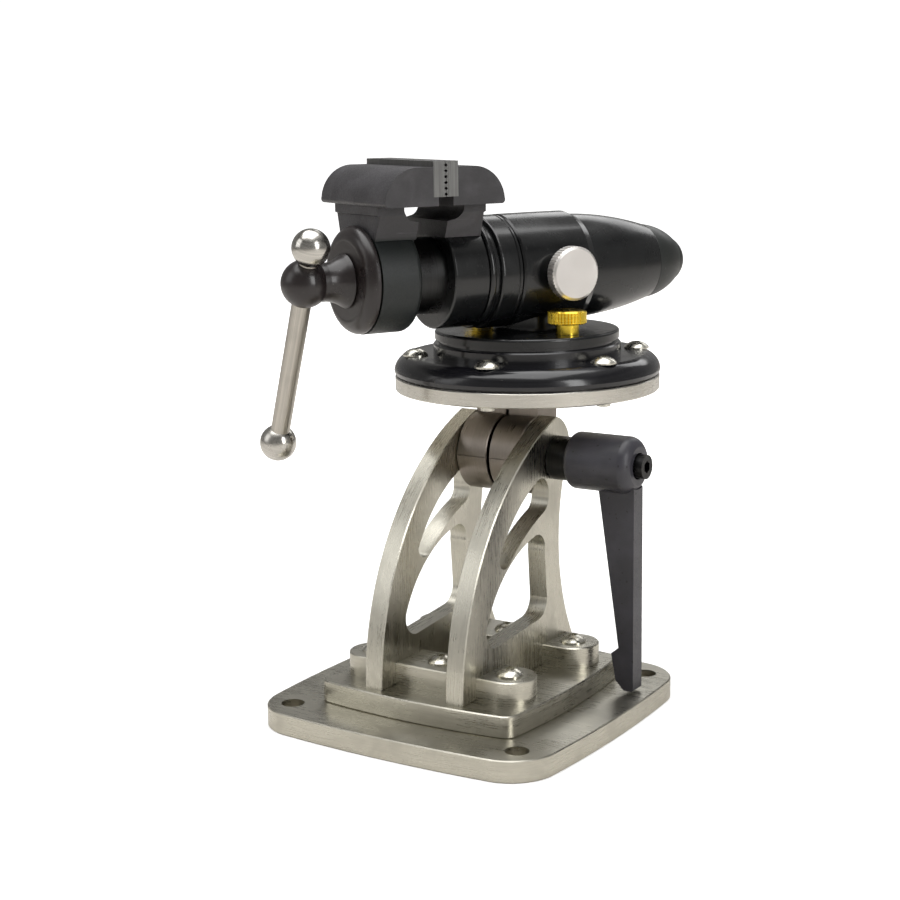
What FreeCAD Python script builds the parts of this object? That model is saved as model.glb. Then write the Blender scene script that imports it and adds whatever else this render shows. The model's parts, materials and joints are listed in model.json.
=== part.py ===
import FreeCAD, Part
import math
import os

import Sketcher

# A small bullet-shaped bench vise on a tilting stand. The origin is at the middle of the base's
# underside, +Z is up and X is the tilt axis, with the clamp lever on the +X side. The vise swivels
# on a bolted flange, its jaw head turns about the barrel and the whole head tips back in the stand.

SIZES = {
    # stand
    "base_half": 61.0,
    "base_reach": 43.0,
    "base_side_radius": 506.0,
    "base_corner_radius": 17.7,
    "base_thickness": 8.0,
    "base_hole_radius": 4.25,
    "base_hole_offset": 47.5,
    "upper_half": 43.2,
    "upper_reach": 36.6,
    "upper_side_radius": 271.0,
    "upper_corner_radius": 4.8,
    "upper_thickness": 8.0,
    "joining_offset": 34.0,
    "cheek_gap": 27.0,
    "cheek_thickness": 7.3,
    "lug_width": 19.0,
    "lug_reach": 17.7,
    "lug_height": 8.0,
    "front_lug_distance": 21.0,
    "rear_lug_distance": 25.0,
    "dowel_radius": 2.0,
    "dowel_length": 18.0,
    "edge_break": 0.4,
    # screws
    "screw_radius": 2.5,
    "screw_head_radius": 4.75,
    "screw_head_height": 2.75,
    "socket_width": 3.0,
    "socket_depth": 1.6,
    "small_screw_radius": 2.0,
    "small_head_radius": 3.9,
    # tilt pivot
    "pivot_depth": 26.3,
    "pivot_height": 93.0,
    "pivot_radius": 4.0,
    "running_clearance": 0.05,
    "knuckle_radius": 14.4,
    "knuckle_gap": 1.2,
    "side_clearance": 0.15,
    "head_rise": 22.6,
    # tilting disc and flange
    "turret_depth": 41.4,
    "disc_radius": 50.0,
    "disc_thickness": 5.5,
    "flange_radius": 50.3,
    "flange_thickness": 8.0,
    "flange_screw_circle": 42.5,
    "flange_screw_angle": 41.0,
    "collar_radius": 35.4,
    "collar_height": 4.2,
    "turret_neck_radius": 33.4,
    "turret_neck_height": 1.5,
    "swivel_disc_radius": 34.8,
    "swivel_disc_thickness": 3.3,
    "spigot_radius": 12.0,
    "stud_circle": 25.0,
    # vise
    "swivel_angle": 62.2,
    "barrel_rise": 39.4,
    "barrel_radius": 21.0,
    "barrel_front": -13.3,
    "barrel_rear": 51.6,
    "barrel_rear_radius": 14.4,
    "cap_tip": 70.5,
    "hub_radius": 19.6,
    "hub_front": -41.6,
    "sleeve_radius": 18.0,
    "sleeve_rear_radius": 16.0,
    "sleeve_end": 38.0,
    "ram_radius": 14.0,
    "ram_bore": 9.0,
    "ram_end": 31.0,
    "nut_radius": 8.5,
    "nut_front": -15.0,
    "lead_radius": 6.0,
    "lead_end": 55.0,
    "key_width": 5.0,
    "jaw_meeting": -48.2,
    "jaw_width": 51.0,
    "jaw_underside": 26.4,
    "jaw_top": 39.8,
    "jaw_reach": 23.7,
    "plate_thickness": 4.9,
    "plate_gap": 0.1,
    "plate_underside": 29.5,
    "plate_top": 41.8,
    "groove_pitch": 2.0,
    "neck_width": 34.0,
    "neck_seat": 14.4,
    "moving_hub_front": -70.2,
    "moving_hub_rear": -54.0,
    "screw_ball_place": -91.2,
    "screw_ball_radius": 8.6,
    # handle bar
    "bar_radius": 3.5,
    "bar_ball_radius": 6.8,
    "bar_span": 81.4,
    "bar_drop": 26.6,
    "bar_lean": 24.6,
    # knobs
    "lock_knob_place": 3.6,
    "lock_knob_radius": 9.85,
    "lock_knob_thickness": 5.0,
    "thumb_nut_radius": 7.1,
    "thumb_nut_height": 9.1,
    # clamp lever
    "lever_collar_radius": 8.1,
    "lever_collar_length": 8.2,
    "lever_hub_radius": 10.5,
    "lever_hub_end": 34.4,
    "lever_length": 84.0,
    "lever_width": 7.0,
}

class Size:
    """A length that carries its value and the sheet expression that works it out."""

    def __init__(self, value, text):
        self.value = float(value)
        self.text = text

    def __add__(self, other):
        other = as_size(other)
        return Size(self.value + other.value, f"({self.text} + {other.text})")

    def __radd__(self, other):
        return as_size(other) + self

    def __sub__(self, other):
        other = as_size(other)
        return Size(self.value - other.value, f"({self.text} - {other.text})")

    def __rsub__(self, other):
        return as_size(other) - self

    def __mul__(self, other):
        other = as_size(other)
        return Size(self.value * other.value, f"({self.text} * {other.text})")

    def __rmul__(self, other):
        return as_size(other) * self

    def __truediv__(self, other):
        other = as_size(other)
        return Size(self.value / other.value, f"({self.text} / {other.text})")

    def __neg__(self):
        return Size(-self.value, f"(0 - {self.text})")


def as_size(number):
    """A plain number as a size, so that both can be mixed in one sum."""
    if isinstance(number, Size):
        return number
    return Size(number, f"({float(number):.6f})")


doc = FreeCAD.newDocument("vise_stand")
sheet = doc.addObject("Spreadsheet::Sheet", "sizes")
for row, (alias, number) in enumerate(SIZES.items(), start=1):
    sheet.set(f"A{row}", str(number))
    sheet.setAlias(f"A{row}", alias)
doc.recompute()


def size(alias):
    """The size in the sheet's cell with this alias."""
    return Size(SIZES[alias], f"sizes.{alias}")


def bind(item, field, amount):
    """Ties one property of an object to the sheet."""
    item.setExpression(field, as_size(amount).text)


def place(item, at=(0, 0, 0), axis=(0, 0, 1), angle=0):
    """Gives an object its place and turn, with every coordinate tied to the sheet."""
    turn = FreeCAD.Rotation(FreeCAD.Vector(*axis), as_size(angle).value)
    point = FreeCAD.Vector(*[as_size(coordinate).value for coordinate in at])
    item.Placement = FreeCAD.Placement(point, turn)
    for letter, coordinate in zip("xyz", at):
        bind(item, f"Placement.Base.{letter}", coordinate)
    if isinstance(angle, Size):
        bind(item, "Placement.Rotation.Angle", angle)
    return item


def named(item, label):
    """Marks an object as a finished sub-part, whose label names its file."""
    item.Label = label
    finished.append(item)
    return item


finished = []

# ---------------------------------------------------------------------------------------------
# Part primitives and booleans
# ---------------------------------------------------------------------------------------------

TURNS = {"X": ((0, 1, 0), 90), "Y": ((1, 0, 0), -90), "Z": ((0, 0, 1), 0)}


def cylinder(radius, length, at=(0, 0, 0), along="Z"):
    """A round bar that starts at a point and runs along +X, +Y or +Z."""
    item = doc.addObject("Part::Cylinder", "cylinder")
    bind(item, "Radius", radius)
    bind(item, "Height", length)
    axis, angle = TURNS[along]
    return place(item, at, axis, angle)


def cone(first_radius, second_radius, length, at=(0, 0, 0), along="Z"):
    """A cone frustum that starts at a point and runs along +X, +Y or +Z."""
    item = doc.addObject("Part::Cone", "cone")
    bind(item, "Radius1", first_radius)
    bind(item, "Radius2", second_radius)
    bind(item, "Height", length)
    axis, angle = TURNS[along]
    return place(item, at, axis, angle)


def box(length, width, height, at):
    """A block whose lowest corner is at a point."""
    item = doc.addObject("Part::Box", "box")
    bind(item, "Length", length)
    bind(item, "Width", width)
    bind(item, "Height", height)
    return place(item, at)


def sphere(radius, at=(0, 0, 0)):
    item = doc.addObject("Part::Sphere", "ball")
    bind(item, "Radius", radius)
    return place(item, at)


def hex_prism(width, height, at=(0, 0, 0), along="Z"):
    """A hexagonal bar, by its width across flats."""
    item = doc.addObject("Part::Prism", "hexagon")
    item.Polygon = 6
    bind(item, "Circumradius", as_size(width) / math.sqrt(3))
    bind(item, "Height", height)
    axis, angle = TURNS[along]
    return place(item, at, axis, angle)


def fuse(*items):
    joined = doc.addObject("Part::MultiFuse", "fusion")
    joined.Shapes = list(items)
    return joined


def common(*items):
    shared = doc.addObject("Part::MultiCommon", "common")
    shared.Shapes = list(items)
    return shared


def cut(base, *tools):
    """The base less every tool."""
    result = doc.addObject("Part::Cut", "cut")
    result.Base = base
    result.Tool = tools[0] if len(tools) == 1 else fuse(*tools)
    return result


def group(*items):
    """Separate solids that share one node, such as a set of like screws."""
    compound = doc.addObject("Part::Compound", "group")
    compound.Links = list(items)
    return compound


# ---------------------------------------------------------------------------------------------
# PartDesign bodies and sketches
# ---------------------------------------------------------------------------------------------


def new_body(label):
    body = doc.addObject("PartDesign::Body", label)
    return body


def new_sketch(body, role, name):
    """An empty sketch on one of the body's own origin planes."""
    sketch = body.newObject("Sketcher::SketchObject", name)
    plane = next(feature for feature in body.Origin.OriginFeatures if feature.Role == role)
    sketch.AttachmentSupport = [(plane, "")]
    sketch.MapMode = "FlatFace"
    return sketch


def fix(sketch, kind, *where, amount):
    """A dimension in a sketch, tied to the sheet."""
    amount = as_size(amount)
    row = sketch.addConstraint(Sketcher.Constraint(kind, *where, amount.value))
    sketch.setExpression(f"Constraints[{row}]", amount.text)


def fix_point(sketch, edge, end, x, y):
    """Fixes one point of an edge by its two coordinates."""
    for kind, coordinate, axis in (("DistanceX", x, -2), ("DistanceY", y, -1)):
        if as_size(coordinate).value == 0:
            sketch.addConstraint(Sketcher.Constraint("PointOnObject", edge, end, axis))
        else:
            fix(sketch, kind, -1, 1, edge, end, amount=coordinate)


def add_outline(sketch, corners):
    """A closed outline of corners (x, y), or (x, y, bend) where the edge that leaves the corner is
    an arc of that radius. A positive bend bulges to the left of the way the outline runs."""
    points = [FreeCAD.Vector(as_size(c[0]).value, as_size(c[1]).value, 0) for c in corners]
    bends = [c[2] if len(c) > 2 else None for c in corners]
    ends = []
    for number, bend in enumerate(bends):
        first = points[number]
        last = points[(number + 1) % len(points)]
        if bend is None:
            edge = sketch.addGeometry(Part.LineSegment(first, last))
            ends.append((edge, 1, 2))
            continue
        radius = abs(as_size(bend).value)
        bulges_left = as_size(bend).value > 0
        chord = last - first
        left = FreeCAD.Vector(-chord.y, chord.x, 0).normalize()
        offset = math.sqrt(radius**2 - (chord.Length / 2) ** 2)
        centre = (first + last) / 2 - left * (offset if bulges_left else -offset)
        start, stop = (last, first) if bulges_left else (first, last)
        angles = [math.atan2(p.y - centre.y, p.x - centre.x) for p in (start, stop)]
        circle = Part.Circle(centre, FreeCAD.Vector(0, 0, 1), radius)
        edge = sketch.addGeometry(Part.ArcOfCircle(circle, angles[0], angles[1]))
        ends.append((edge, 2, 1) if bulges_left else (edge, 1, 2))
        fix(sketch, "Radius", edge, amount=abs_size(bend))
    for number, (edge, begin, _) in enumerate(ends):
        before, _, finish = ends[number - 1]
        sketch.addConstraint(Sketcher.Constraint("Coincident", before, finish, edge, begin))
        fix_point(sketch, edge, begin, corners[number][0], corners[number][1])


def abs_size(amount):
    amount = as_size(amount)
    return amount if amount.value >= 0 else -amount


def add_circle(sketch, radius, x=0, y=0):
    centre = FreeCAD.Vector(as_size(x).value, as_size(y).value, 0)
    circle = Part.Circle(centre, FreeCAD.Vector(0, 0, 1), as_size(radius).value)
    edge = sketch.addGeometry(circle)
    fix(sketch, "Radius", edge, amount=radius)
    fix_point(sketch, edge, 3, x, y)


def pad(body, sketch, length, both_ways=False):
    feature = body.newObject("PartDesign::Pad", "pad")
    feature.Profile = sketch
    bind(feature, "Length", length)
    if both_ways:
        feature.SideType = "Symmetric"
    return feature


def pocket_through(body, sketch):
    """Cuts the sketch through everything, to both sides of its plane."""
    feature = body.newObject("PartDesign::Pocket", "pocket")
    feature.Profile = sketch
    feature.Type = "ThroughAll"
    feature.SideType = "Symmetric"
    return feature


def revolve(body, sketch, axis="H_Axis"):
    feature = body.newObject("PartDesign::Revolution", "turning")
    feature.Profile = sketch
    feature.ReferenceAxis = (sketch, [axis])
    feature.Angle = 360
    return feature


def turned(label, corners, axis="H_Axis"):
    """A turned body from a half section in the XZ plane, about X (H_Axis) or Z (V_Axis)."""
    body = new_body(label)
    sketch = new_sketch(body, "XZ_Plane", f"{label}_section")
    add_outline(sketch, corners)
    revolve(body, sketch, axis)
    return body


def chamfer_rims(body, feature, levels, amount, across=2):
    """Breaks the sharp edges that lie in planes square to an axis of the body: 0 for X, 2 for Z."""
    doc.recompute()
    names = []
    for number, edge in enumerate(feature.Shape.Edges, start=1):
        heights = [vertex.Point[across] for vertex in edge.Vertexes]
        flat = max(heights) - min(heights) < 1e-4
        if flat and any(abs(heights[0] - as_size(level).value) < 1e-4 for level in levels):
            names.append(f"Edge{number}")
    chamfer = body.newObject("PartDesign::Chamfer", "edge_break")
    chamfer.Base = (feature, names)
    bind(chamfer, "Size", amount)
    return chamfer


# ---------------------------------------------------------------------------------------------
# Shared dimensions worked out from the sheet
# ---------------------------------------------------------------------------------------------

plate_top = size("base_thickness") + size("upper_thickness")
lug_top = plate_top + size("lug_height")
cheek_inner = size("cheek_gap") / 2
cheek_outer = cheek_inner + size("cheek_thickness")
screw_reach = size("lug_width") / 2
lug_screw_place = cheek_outer + size("lug_reach") - screw_reach
break_edge = size("edge_break")
clear = size("running_clearance")
pivot = (0, size("pivot_depth"), size("pivot_height"))
disc_underside = size("pivot_height") + size("head_rise")
disc_top = disc_underside + size("disc_thickness")
flange_top = disc_top + size("flange_thickness")
collar_top = flange_top + size("collar_height")
neck_top = collar_top + size("turret_neck_height")
swivel_underside = neck_top + 0.1
swivel_top = swivel_underside + size("swivel_disc_thickness")
turret = (0, size("turret_depth"), 0)
barrel_height = disc_top + size("barrel_rise")
barrel_centre = (0, size("turret_depth"), barrel_height)


def on_barrel(item):
    """Places a vise piece, drawn about the barrel's axis, in the swivelled vise."""
    return place(group(item), barrel_centre, (0, 0, 1), size("swivel_angle"))


def on_turret(item):
    """Places a piece drawn about the swivel axis, turned with the vise."""
    return place(group(item), turret, (0, 0, 1), size("swivel_angle"))


# ---------------------------------------------------------------------------------------------
# Screws
# ---------------------------------------------------------------------------------------------


def button_screw(x, y, seat, length):
    """A button-head socket screw that points down, with the underside of its head at the seat."""
    radius = size("screw_head_radius")
    height = size("screw_head_height")
    dome_radius = 6.2
    dome = sphere(dome_radius, (x, y, seat + height - dome_radius))
    head = common(cylinder(radius, height, (x, y, seat)), dome)
    shank = cylinder(size("screw_radius"), length, (x, y, seat - length))
    depth = size("socket_depth")
    socket = hex_prism(size("socket_width"), depth + 1, (x, y, seat + height - depth))
    return cut(fuse(head, shank), socket)


def countersunk_screw(x, y, seat, length, radius, head_radius, points_up=False):
    """A countersunk socket screw with its flat head level with the seat."""
    depth = head_radius - radius
    if points_up:
        head = cone(head_radius, radius, depth, (x, y, seat))
        shank = cylinder(radius, length, (x, y, seat))
        socket = hex_prism(radius, depth, (x, y, seat - depth / 3))
    else:
        head = cone(radius, head_radius, depth, (x, y, seat - depth))
        shank = cylinder(radius, length, (x, y, seat - length))
        socket = hex_prism(radius, depth, (x, y, seat - depth * 2 / 3))
    return cut(fuse(head, shank), socket)


def countersink(x, y, seat, length, radius, head_radius, points_up=False):
    """The hole that a countersunk screw sits in."""
    depth = head_radius - radius
    if points_up:
        return fuse(cone(head_radius, radius, depth, (x, y, seat)), cylinder(radius, length, (x, y, seat)))
    return fuse(
        cone(radius, head_radius, depth, (x, y, seat - depth)),
        cylinder(radius, length, (x, y, seat - length)),
    )


# ---------------------------------------------------------------------------------------------
# Stand
# ---------------------------------------------------------------------------------------------

LUG_ROWS = {"front": -size("front_lug_distance"), "rear": size("rear_lug_distance")}
SIDES = {"left": -1, "right": 1}
joining_places = [(size("joining_offset") * i, size("joining_offset") * j) for i in (-1, 1) for j in (-1, 1)]
joining_head_radius = size("screw_head_radius") + 0.3
joining_length = 13
joining_depth = 6


def bowed_plate(label, half, reach, side_radius, corner_radius, thickness, holes):
    """A square plate with gently bowed sides, rounded corners and through holes (x, y, radius)."""
    body = new_body(label)
    outline = new_sketch(body, "XY_Plane", f"{label}_outline")
    side = half - reach * reach / (2 * side_radius)
    corners = []
    for x, y in ((1, 0), (0, 1), (-1, 0), (0, -1)):
        corners.append((side * x + reach * y, side * y - reach * x, -side_radius))
        corners.append((side * x - reach * y, side * y + reach * x, -corner_radius))
    add_outline(outline, corners)
    slab = pad(body, outline, thickness)
    chamfer_rims(body, slab, (0, thickness), break_edge)
    hole_sketch = new_sketch(body, "XY_Plane", f"{label}_holes")
    for x, y, radius in holes:
        add_circle(hole_sketch, radius, x, y)
    pocket_through(body, hole_sketch)
    return body


def build_plates():
    offset = size("base_hole_offset")
    mount_holes = [(offset * i, offset * j, size("base_hole_radius")) for i in (-1, 1) for j in (-1, 1)]
    base = bowed_plate(
        "base_blank", size("base_half"), size("base_reach"), size("base_side_radius"),
        size("base_corner_radius"), size("base_thickness"), mount_holes,
    )
    sinks = [
        countersink(x, y, 0.3, joining_length, size("screw_radius"), joining_head_radius, True)
        for x, y in joining_places
    ]
    mouths = [cylinder(joining_head_radius, 0.3, (x, y, 0)) for x, y in joining_places]
    named(cut(base, *sinks, *mouths), "base_plate")

    tapped = [(x, y, size("screw_radius")) for x, y in clamp_screw_places()]
    upper = bowed_plate(
        "upper_blank", size("upper_half"), size("upper_reach"), size("upper_side_radius"),
        size("upper_corner_radius"), size("upper_thickness"), tapped,
    )
    blind = [
        cylinder(size("screw_radius"), joining_depth, (x, y, size("base_thickness")))
        for x, y in joining_places
    ]
    named(cut(place(upper, (0, 0, size("base_thickness"))), *blind), "upper_plate")
    screws = [
        countersunk_screw(x, y, 0.3, joining_length, size("screw_radius"), joining_head_radius, True)
        for x, y in joining_places
    ]
    named(group(*screws), "base_screws")


def clamp_screw_places():
    """Where the six button-head screws stand: four in the lugs, two in the cross blocks."""
    return [(lug_screw_place * side, y) for y in LUG_ROWS.values() for side in (-1, 0, 1)]


def build_cheek(name, side):
    """One side plate: a convex front edge, a concave rear edge, a nose round the pivot and two
    windows that follow the edges."""
    body = new_body(f"cheek_{name}")
    outline = new_sketch(body, "YZ_Plane", f"cheek_{name}_outline")
    foot = plate_top
    add_outline(outline, [
        (-39.4, foot, 98.0),
        (27.0, foot + 92, 12.0),
        (37.4, foot + 80, -78.3),
        (38.8, foot + 7),
        (40.0, foot),
    ])
    plate = pad(body, outline, size("cheek_thickness"), both_ways=True)
    half = size("cheek_thickness") / 2
    chamfer_rims(body, plate, (-half, half), break_edge, across=0)
    windows = new_sketch(body, "YZ_Plane", f"cheek_{name}_windows")
    add_outline(windows, [
        (-22.9, foot + 24.5, 46.0),
        (10.4, foot + 50.1, 6.0),
        (18.2, foot + 43),
        (19.6, foot + 25, 7.0),
        (13.0, foot + 18),
        (-15.0, foot + 15.5, 7.0),
    ])
    add_outline(windows, [
        (-14.2, foot + 47, 57.0),
        (12.0, foot + 70, 6.0),
        (21.2, foot + 64, 5.6),
        (17.8, foot + 58, -80.0),
        (-7.5, foot + 43.5, 4.2),
    ])
    pocket_through(body, windows)
    holes = new_sketch(body, "YZ_Plane", f"cheek_{name}_holes")
    add_circle(holes, size("pivot_radius") + clear, size("pivot_depth"), size("pivot_height"))
    for y in dowel_places():
        add_circle(holes, size("dowel_radius"), y, dowel_height)
    pocket_through(body, holes)
    named(place(body, ((cheek_inner + half) * side, 0, 0)), f"cheek_{name}")


dowel_height = plate_top + size("lug_height") / 2


def dowel_places():
    """Depths of the two cross dowels, to the inner side of the clamp screws."""
    return [LUG_ROWS["front"] + 6, LUG_ROWS["rear"] - 6]


def build_lugs():
    """Four D-shaped lugs outside the cheeks and two cross blocks between them."""
    half = size("lug_width") / 2
    reach = size("lug_reach")
    blind = (size("dowel_length") - size("cheek_thickness")) / 2
    for row, y in LUG_ROWS.items():
        dowel_y = y + (6 if row == "front" else -6)
        for name, side in SIDES.items():
            body = new_body(f"lug_blank_{row}_{name}")
            outline = new_sketch(body, "XY_Plane", f"lug_{row}_{name}_outline")
            straight = reach - half
            bend = -half if side > 0 else half
            add_outline(outline, [
                (0, -half),
                (straight * side, -half, bend),
                (reach * side, 0, bend),
                (straight * side, half),
                (0, half),
            ])
            block = pad(body, outline, size("lug_height"))
            chamfer_rims(body, block, (size("lug_height"),), break_edge)
            hole = new_sketch(body, "XY_Plane", f"lug_{row}_{name}_hole")
            add_circle(hole, size("screw_radius") + clear, straight * side, 0)
            pocket_through(body, hole)
            place(body, (cheek_outer * side, y, plate_top))
            start = cheek_outer if side > 0 else -cheek_outer - blind
            socket = cylinder(size("dowel_radius"), blind, (start, dowel_y, dowel_height), "X")
            named(cut(body, socket), f"lug_{row}_{name}")
        body = new_body(f"block_blank_{row}")
        outline = new_sketch(body, "XY_Plane", f"cross_block_{row}_outline")
        add_outline(outline, [
            (-cheek_inner, -half), (cheek_inner, -half), (cheek_inner, half), (-cheek_inner, half),
        ])
        block = pad(body, outline, size("lug_height"))
        chamfer_rims(body, block, (size("lug_height"),), break_edge)
        hole = new_sketch(body, "XY_Plane", f"cross_block_{row}_hole")
        add_circle(hole, size("screw_radius") + clear, 0, 0)
        pocket_through(body, hole)
        place(body, (0, y, plate_top))
        sockets = [
            cylinder(size("dowel_radius"), blind, (start, dowel_y, dowel_height), "X")
            for start in (-cheek_inner, cheek_inner - blind)
        ]
        named(cut(body, *sockets), f"cross_block_{row}")


def build_stand_fasteners():
    screws = [button_screw(x, y, lug_top, 14) for x, y in clamp_screw_places()]
    named(group(*screws), "clamp_screws")
    start = cheek_inner - (size("dowel_length") - size("cheek_thickness")) / 2
    dowels = []
    for y in dowel_places():
        for first in (start, -start - size("dowel_length")):
            dowels.append(cylinder(size("dowel_radius"), size("dowel_length"), (first, y, dowel_height), "X"))
    named(group(*dowels), "cheek_dowels")


def build_pivot():
    """The bolt that the head tips on. It is put in from the left and ends in the clamp lever."""
    washer_thickness = 1.5
    head_height = 5.0
    end = cheek_outer + size("lever_collar_length") + 7
    washer = cut(
        cylinder(8.0, washer_thickness, (-cheek_outer - washer_thickness, 0, 0), "X"),
        cylinder(size("pivot_radius"), washer_thickness, (-cheek_outer - washer_thickness, 0, 0), "X"),
    )
    named(place(washer, pivot), "pivot_washer")
    seat = -cheek_outer - washer_thickness
    dome_radius = 9.3
    head = common(
        cylinder(7.0, head_height + 0.5, (seat - head_height, 0, 0), "X"),
        sphere(dome_radius, (seat - head_height - 0.4 + dome_radius, 0, 0)),
        box(head_height, 20.0, 20.0, (seat - head_height, -10.0, -10.0)),
    )
    shank = cylinder(size("pivot_radius"), end - seat, (seat, 0, 0), "X")
    socket = hex_prism(5.0, 3.5, (seat - head_height - 0.5, 0, 0), "X")
    named(place(cut(fuse(head, shank), socket), pivot), "pivot_bolt")


# ---------------------------------------------------------------------------------------------
# Tilting head
# ---------------------------------------------------------------------------------------------

HINGE_SCREW_DEPTHS = (3.2, 11.2)
flange_screw_places = [
    (size("flange_screw_circle").value * math.cos(math.radians(SIZES["flange_screw_angle"] + 60 * turn)),
     size("flange_screw_circle").value * math.sin(math.radians(SIZES["flange_screw_angle"] + 60 * turn)))
    for turn in range(6)
]


def build_hinge_blocks():
    """Two knuckles side by side on the pivot bolt, each with a block that carries the disc."""
    radius = size("knuckle_radius")
    rise = size("head_rise")
    length = cheek_inner - size("side_clearance") - size("knuckle_gap") / 2
    screw_x = size("knuckle_gap") / 2 + length / 2
    scribe_depth = 0.5
    scribe_height = 0.45
    for name, side in SIDES.items():
        body = new_body(f"hinge_blank_{name}")
        outline = new_sketch(body, "YZ_Plane", f"hinge_block_{name}_outline")
        add_outline(outline, [
            (radius, rise),
            (0, rise),
            (0, radius, -radius),
            (-radius, 0, -radius),
            (0, -radius, -radius),
            (radius, 0),
        ])
        block = pad(body, outline, length, both_ways=True)
        chamfer_rims(body, block, (-length / 2, length / 2), break_edge, across=0)
        hole = new_sketch(body, "YZ_Plane", f"hinge_block_{name}_bore")
        add_circle(hole, size("pivot_radius") + clear)
        pocket_through(body, hole)
        place(body, (screw_x * side, 0, 0))
        scribe_start = ((screw_x * side) - length / 2, -radius - 0.3, 0.1)
        scribe = box(length, scribe_depth + 0.3, scribe_height, scribe_start)
        holes = [
            cylinder(size("small_screw_radius"), 9, (screw_x * side, y, rise - 9))
            for y in HINGE_SCREW_DEPTHS
        ]
        named(place(cut(body, scribe, *holes), pivot), f"hinge_block_{name}")


def hinge_screw_places():
    length = cheek_inner - size("side_clearance") - size("knuckle_gap") / 2
    screw_x = size("knuckle_gap") / 2 + length / 2
    return [
        (screw_x * side, y + size("pivot_depth") - size("turret_depth"))
        for side in SIDES.values() for y in HINGE_SCREW_DEPTHS
    ]


def build_disc():
    """The steel disc that joins the hinge blocks to the vise's flange."""
    body = new_body("disc_blank")
    outline = new_sketch(body, "XY_Plane", "disc_outline")
    add_circle(outline, size("disc_radius"))
    slab = pad(body, outline, size("disc_thickness"))
    chamfer_rims(body, slab, (0, size("disc_thickness")), break_edge)
    holes = new_sketch(body, "XY_Plane", "disc_holes")
    for x, y in flange_screw_places:
        add_circle(holes, size("screw_radius"), x, y)
    pocket_through(body, holes)
    place(body, (0, 0, disc_underside))
    radius = size("small_screw_radius")
    head_radius = size("small_head_radius")
    sinks = [
        countersink(x, y, disc_top, size("disc_thickness"), radius, head_radius)
        for x, y in hinge_screw_places()
    ]
    named(place(cut(body, *sinks), turret), "tilt_disc")
    screws = [
        countersunk_screw(x, y, disc_top, size("disc_thickness") + 8, radius, head_radius)
        for x, y in hinge_screw_places()
    ]
    named(place(group(*screws), turret), "disc_screws")


def build_turret_base():
    """The black flange: a rounded rim, a collar, a T-slot ring for the clamp studs and a pivot bore."""
    bore = size("spigot_radius") + clear
    counterbore = 16.0
    slot = size("stud_circle")
    slot_half = 2.9
    undercut_half = 4.7
    undercut_floor = flange_top - 1.8
    undercut_roof = undercut_floor + 3.3
    body = turned("turret_blank", [
        (counterbore, disc_top),
        (size("flange_radius") - 1.0, disc_top),
        (size("flange_radius") - 0.3, disc_top + 0.9),
        (size("flange_radius"), disc_top + 2.2, -6.6),
        (44.6, flange_top),
        (size("collar_radius"), flange_top),
        (size("collar_radius"), collar_top - 0.5),
        (size("collar_radius") - 0.5, collar_top),
        (size("turret_neck_radius"), collar_top),
        (size("turret_neck_radius"), neck_top),
        (slot + slot_half, neck_top),
        (slot + slot_half, undercut_roof),
        (slot + undercut_half, undercut_roof),
        (slot + undercut_half, undercut_floor),
        (slot - undercut_half, undercut_floor),
        (slot - undercut_half, undercut_roof),
        (slot - slot_half, undercut_roof),
        (slot - slot_half, neck_top),
        (bore, neck_top),
        (bore, disc_top + 3.2),
        (counterbore, disc_top + 3.2),
    ], "V_Axis")
    holes = [cylinder(size("screw_radius") + clear, 12, (x, y, disc_top - 1)) for x, y in flange_screw_places]
    named(place(cut(body, *holes), turret), "turret_base")
    screws = [button_screw(x, y, flange_top, 15.5) for x, y in flange_screw_places]
    named(place(group(*screws), turret), "flange_screws")


# ---------------------------------------------------------------------------------------------
# Swivelling vise body
# ---------------------------------------------------------------------------------------------

STUD_PLACES = {"near": (2.0, -1), "far": (-5.0, 1)}
lock_place = size("lock_knob_place")
lock_hole_radius = 3.05


def stud_place(name):
    """Where a clamp stud stands on its circle. The near one is on the knob's side."""
    along, hand = STUD_PLACES[name]
    return (along, math.sqrt(SIZES["stud_circle"]**2 - along**2) * hand)


def build_vise_body():
    """The barrel casting: a tapering round housing on a pedestal and a swivel disc."""
    front = size("barrel_front")
    rear = size("barrel_rear")
    radius = size("barrel_radius")
    bore = size("sleeve_radius") + 0.1
    rear_bore = size("sleeve_rear_radius") + 0.1
    tail_bore = 9.5
    rear_end = size("sleeve_end") + 0.4
    barrel = turned("barrel_blank", [
        (front, bore),
        (front, radius - 0.7),
        (front + 0.7, radius - 0.1),
        (1.0, radius),
        (15.2, radius),
        (18.2, radius - 1.3, 126.0),
        (rear, size("barrel_rear_radius")),
        (rear, tail_bore),
        (rear_end, tail_bore),
        (rear_end, rear_bore),
        (14.3, rear_bore),
        (14.3, bore),
    ])
    pedestal_radius = 13.0
    drop = swivel_top - barrel_height
    disc = turned("swivel_disc_blank", [
        (0, swivel_underside - barrel_height - 11.0),
        (size("spigot_radius"), swivel_underside - barrel_height - 11.0),
        (size("spigot_radius"), swivel_underside - barrel_height),
        (size("swivel_disc_radius"), swivel_underside - barrel_height),
        (size("swivel_disc_radius"), drop - 1.0, -1.0),
        (size("swivel_disc_radius") - 1.0, drop),
        (pedestal_radius + 1.5, drop, 1.5),
        (pedestal_radius, drop + 1.5),
        (pedestal_radius, drop + 12.0),
        (0, drop + 12.0),
    ], "V_Axis")
    keep_out = cylinder(bore, rear_end - front, (front, 0, 0), "X")
    pedestal = cut(disc, keep_out)
    stud_holes = [
        cylinder(size("screw_radius") + 0.3, 8, (*stud_place(name), drop - 6)) for name in STUD_PLACES
    ]
    lock_hole = cylinder(lock_hole_radius, 10, (lock_place, -radius - 3, 0), "Y")
    pilot = cylinder(3.0, 10.5, (0, 0, swivel_underside - barrel_height - 11.5))
    named(on_barrel(cut(fuse(barrel, pedestal), *stud_holes, lock_hole, pilot)), "vise_body")


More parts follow.
